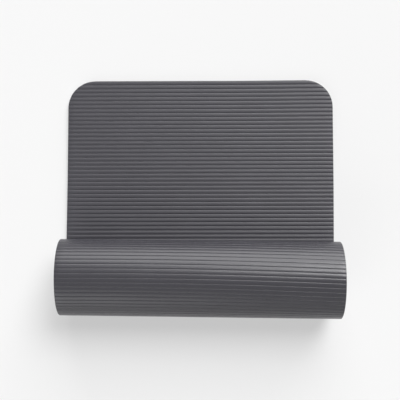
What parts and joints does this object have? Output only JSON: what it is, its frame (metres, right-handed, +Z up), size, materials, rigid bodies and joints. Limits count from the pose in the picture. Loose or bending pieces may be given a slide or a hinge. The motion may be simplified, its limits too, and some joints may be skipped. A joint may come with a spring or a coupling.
{
  "type": "pilates mat",
  "caption": "Thick ribbed foam exercise mat, partly rolled up, with a flat leaf and a spiral roll that unrolls or rolls on.",
  "frame": {"origin": "middle of the mat's plan, on the floor", "axes": "+X across the mat along its ribs, +Y along the flat leaf away from the roll, +Z up"},
  "size_m": [0.61, 0.5378, 0.1736],
  "materials": {
    "foam_skin": "matte"
  },
  "bodies": {
    "base": {"leaf_strip_12": "foam_skin"},
    "leaf_11": {"leaf_strip_11": "foam_skin"},
    "leaf_10": {"leaf_strip_10": "foam_skin"},
    "leaf_09": {"leaf_strip_09": "foam_skin"},
    "leaf_08": {"leaf_strip_08": "foam_skin"},
    "leaf_07": {"leaf_strip_07": "foam_skin"},
    "leaf_06": {"leaf_strip_06": "foam_skin"},
    "leaf_05": {"leaf_strip_05": "foam_skin"},
    "leaf_04": {"leaf_strip_04": "foam_skin"},
    "leaf_03": {"leaf_strip_03": "foam_skin"},
    "leaf_02": {"leaf_strip_02": "foam_skin"},
    "leaf_01": {"leaf_strip_01": "foam_skin"},
    "turn_01": {"turn_strip_01": "foam_skin"},
    "turn_02": {"turn_strip_02": "foam_skin"},
    "turn_03": {"turn_strip_03": "foam_skin"},
    "turn_04": {"turn_strip_04": "foam_skin"},
    "turn_05": {"turn_strip_05": "foam_skin"},
    "turn_06": {"turn_strip_06": "foam_skin"},
    "turn_07": {"turn_strip_07": "foam_skin"},
    "turn_08": {"turn_strip_08": "foam_skin"},
    "turn_09": {"turn_strip_09": "foam_skin"},
    "turn_10": {"turn_strip_10": "foam_skin"},
    "turn_11": {"turn_strip_11": "foam_skin"},
    "turn_12": {"turn_strip_12": "foam_skin"},
    "coil": {"coil_strip_01": "foam_skin", "coil_strip_02": "foam_skin", "coil_strip_03": "foam_skin", "coil_strip_04": "foam_skin", "coil_strip_05": "foam_skin", "coil_strip_06": "foam_skin", "coil_strip_07": "foam_skin", "coil_strip_08": "foam_skin", "coil_strip_09": "foam_skin", "coil_strip_10": "foam_skin", "coil_strip_11": "foam_skin", "coil_strip_12": "foam_skin", "coil_strip_13": "foam_skin", "coil_strip_14": "foam_skin", "coil_strip_15": "foam_skin", "coil_strip_16": "foam_skin", "coil_strip_17": "foam_skin", "coil_strip_18": "foam_skin", "coil_strip_19": "foam_skin", "coil_strip_20": "foam_skin", "coil_strip_21": "foam_skin", "coil_strip_22": "foam_skin", "coil_strip_23": "foam_skin", "coil_strip_24": "foam_skin", "coil_strip_25": "foam_skin"}
  },
  "joints": [
    {"name": "roll_up_01", "type": "hinge", "parent": "base", "child": "leaf_11", "pos_m": [0, -0.15189, 0.00635], "axis": [1, 0, 0], "range_deg": [0, 33.58], "stiffness_Nm_per_rad": 2},
    {"name": "roll_up_02", "type": "hinge", "parent": "leaf_11", "child": "leaf_10", "pos_m": [0, -0.11449, 0.00635], "axis": [1, 0, 0], "range_deg": [0, 21.46], "stiffness_Nm_per_rad": 2},
    {"name": "roll_up_03", "type": "hinge", "parent": "leaf_10", "child": "leaf_09", "pos_m": [0, -0.07709, 0.00635], "axis": [1, 0, 0], "range_deg": [0, 24.29], "stiffness_Nm_per_rad": 2},
    {"name": "roll_up_04", "type": "hinge", "parent": "leaf_09", "child": "leaf_08", "pos_m": [0, -0.03969, 0.00635], "axis": [1, 0, 0], "range_deg": [0, 24.05], "stiffness_Nm_per_rad": 2},
    {"name": "roll_up_05", "type": "hinge", "parent": "leaf_08", "child": "leaf_07", "pos_m": [0, -0.00229, 0.00635], "axis": [1, 0, 0], "range_deg": [0, 23.81], "stiffness_Nm_per_rad": 2},
    {"name": "roll_up_06", "type": "hinge", "parent": "leaf_07", "child": "leaf_06", "pos_m": [0, 0.03511, 0.00635], "axis": [1, 0, 0], "range_deg": [0, 23.58], "stiffness_Nm_per_rad": 2},
    {"name": "roll_up_07", "type": "hinge", "parent": "leaf_06", "child": "leaf_05", "pos_m": [0, 0.07251, 0.00635], "axis": [1, 0, 0], "range_deg": [0, 23.36], "stiffness_Nm_per_rad": 2},
    {"name": "roll_up_08", "type": "hinge", "parent": "leaf_05", "child": "leaf_04", "pos_m": [0, 0.10991, 0.00635], "axis": [1, 0, 0], "range_deg": [0, 23.14], "stiffness_Nm_per_rad": 2},
    {"name": "roll_up_09", "type": "hinge", "parent": "leaf_04", "child": "leaf_03", "pos_m": [0, 0.14731, 0.00635], "axis": [1, 0, 0], "range_deg": [0, 22.93], "stiffness_Nm_per_rad": 2},
    {"name": "roll_up_10", "type": "hinge", "parent": "leaf_03", "child": "leaf_02", "pos_m": [0, 0.18471, 0.00635], "axis": [1, 0, 0], "range_deg": [0, 22.72], "stiffness_Nm_per_rad": 2},
    {"name": "roll_up_11", "type": "hinge", "parent": "leaf_02", "child": "leaf_01", "pos_m": [0, 0.22211, 0.00635], "axis": [1, 0, 0], "range_deg": [0, 22.52], "stiffness_Nm_per_rad": 2},
    {"name": "unroll_01", "type": "hinge", "parent": "base", "child": "turn_01", "pos_m": [0, -0.18927, 0.00687], "axis": [1, 0, 0], "range_deg": [0, 15.46], "stiffness_Nm_per_rad": 2},
    {"name": "unroll_02", "type": "hinge", "parent": "turn_01", "child": "turn_02", "pos_m": [0, -0.22427, 0.01911], "axis": [1, 0, 0], "range_deg": [0, 29.76], "stiffness_Nm_per_rad": 2},
    {"name": "unroll_03", "type": "hinge", "parent": "turn_02", "child": "turn_03", "pos_m": [0, -0.25039, 0.04543], "axis": [1, 0, 0], "range_deg": [0, 26.25], "stiffness_Nm_per_rad": 2},
    {"name": "unroll_04", "type": "hinge", "parent": "turn_03", "child": "turn_04", "pos_m": [0, -0.26217, 0.08058], "axis": [1, 0, 0], "range_deg": [0, 26.57], "stiffness_Nm_per_rad": 2},
    {"name": "unroll_05", "type": "hinge", "parent": "turn_04", "child": "turn_05", "pos_m": [0, -0.25699, 0.11728], "axis": [1, 0, 0], "range_deg": [0, 26.9], "stiffness_Nm_per_rad": 2},
    {"name": "unroll_06", "type": "hinge", "parent": "turn_05", "child": "turn_06", "pos_m": [0, -0.23577, 0.14765], "axis": [1, 0, 0], "range_deg": [0, 27.24], "stiffness_Nm_per_rad": 2},
    {"name": "unroll_07", "type": "hinge", "parent": "turn_06", "child": "turn_07", "pos_m": [0, -0.20301, 0.16494], "axis": [1, 0, 0], "range_deg": [0, 27.6], "stiffness_Nm_per_rad": 2},
    {"name": "unroll_08", "type": "hinge", "parent": "turn_07", "child": "turn_08", "pos_m": [0, -0.16597, 0.16509], "axis": [1, 0, 0], "range_deg": [0, 27.96], "stiffness_Nm_per_rad": 2},
    {"name": "unroll_09", "type": "hinge", "parent": "turn_08", "child": "turn_09", "pos_m": [0, -0.1332, 0.14786], "axis": [1, 0, 0], "range_deg": [0, 28.35], "stiffness_Nm_per_rad": 2},
    {"name": "unroll_10", "type": "hinge", "parent": "turn_09", "child": "turn_10", "pos_m": [0, -0.11255, 0.11714], "axis": [1, 0, 0], "range_deg": [0, 28.75], "stiffness_Nm_per_rad": 2},
    {"name": "unroll_11", "type": "hinge", "parent": "turn_10", "child": "turn_11", "pos_m": [0, -0.10922, 0.08029], "axis": [1, 0, 0], "range_deg": [0, 29.17], "stiffness_Nm_per_rad": 2},
    {"name": "unroll_12", "type": "hinge", "parent": "turn_11", "child": "turn_12", "pos_m": [0, -0.12427, 0.0465], "axis": [1, 0, 0], "range_deg": [0, 29.61], "stiffness_Nm_per_rad": 2},
    {"name": "unroll_13", "type": "hinge", "parent": "turn_12", "child": "coil", "pos_m": [0, -0.15404, 0.02456], "axis": [1, 0, 0], "range_deg": [0, 14.95], "stiffness_Nm_per_rad": 2}
  ],
  "couplings": [
    {"joint": "roll_up_02", "follows": "roll_up_01", "ratio": 0.63907},
    {"joint": "roll_up_03", "follows": "roll_up_01", "ratio": 0.72355},
    {"joint": "roll_up_04", "follows": "roll_up_01", "ratio": 0.71624},
    {"joint": "roll_up_05", "follows": "roll_up_01", "ratio": 0.70916},
    {"joint": "roll_up_06", "follows": "roll_up_01", "ratio": 0.70227},
    {"joint": "roll_up_07", "follows": "roll_up_01", "ratio": 0.69559},
    {"joint": "roll_up_08", "follows": "roll_up_01", "ratio": 0.68909},
    {"joint": "roll_up_09", "follows": "roll_up_01", "ratio": 0.68278},
    {"joint": "roll_up_10", "follows": "roll_up_01", "ratio": 0.67663},
    {"joint": "roll_up_11", "follows": "roll_up_01", "ratio": 0.67065},
    {"joint": "unroll_02", "follows": "unroll_01", "ratio": 1.9244},
    {"joint": "unroll_03", "follows": "unroll_01", "ratio": 1.6977},
    {"joint": "unroll_04", "follows": "unroll_01", "ratio": 1.7182},
    {"joint": "unroll_05", "follows": "unroll_01", "ratio": 1.7395},
    {"joint": "unroll_06", "follows": "unroll_01", "ratio": 1.7616},
    {"joint": "unroll_07", "follows": "unroll_01", "ratio": 1.7846},
    {"joint": "unroll_08", "follows": "unroll_01", "ratio": 1.8085},
    {"joint": "unroll_09", "follows": "unroll_01", "ratio": 1.8334},
    {"joint": "unroll_10", "follows": "unroll_01", "ratio": 1.8593},
    {"joint": "unroll_11", "follows": "unroll_01", "ratio": 1.8864},
    {"joint": "unroll_12", "follows": "unroll_01", "ratio": 1.9147},
    {"joint": "unroll_13", "follows": "unroll_01", "ratio": 0.96713}
  ]
}
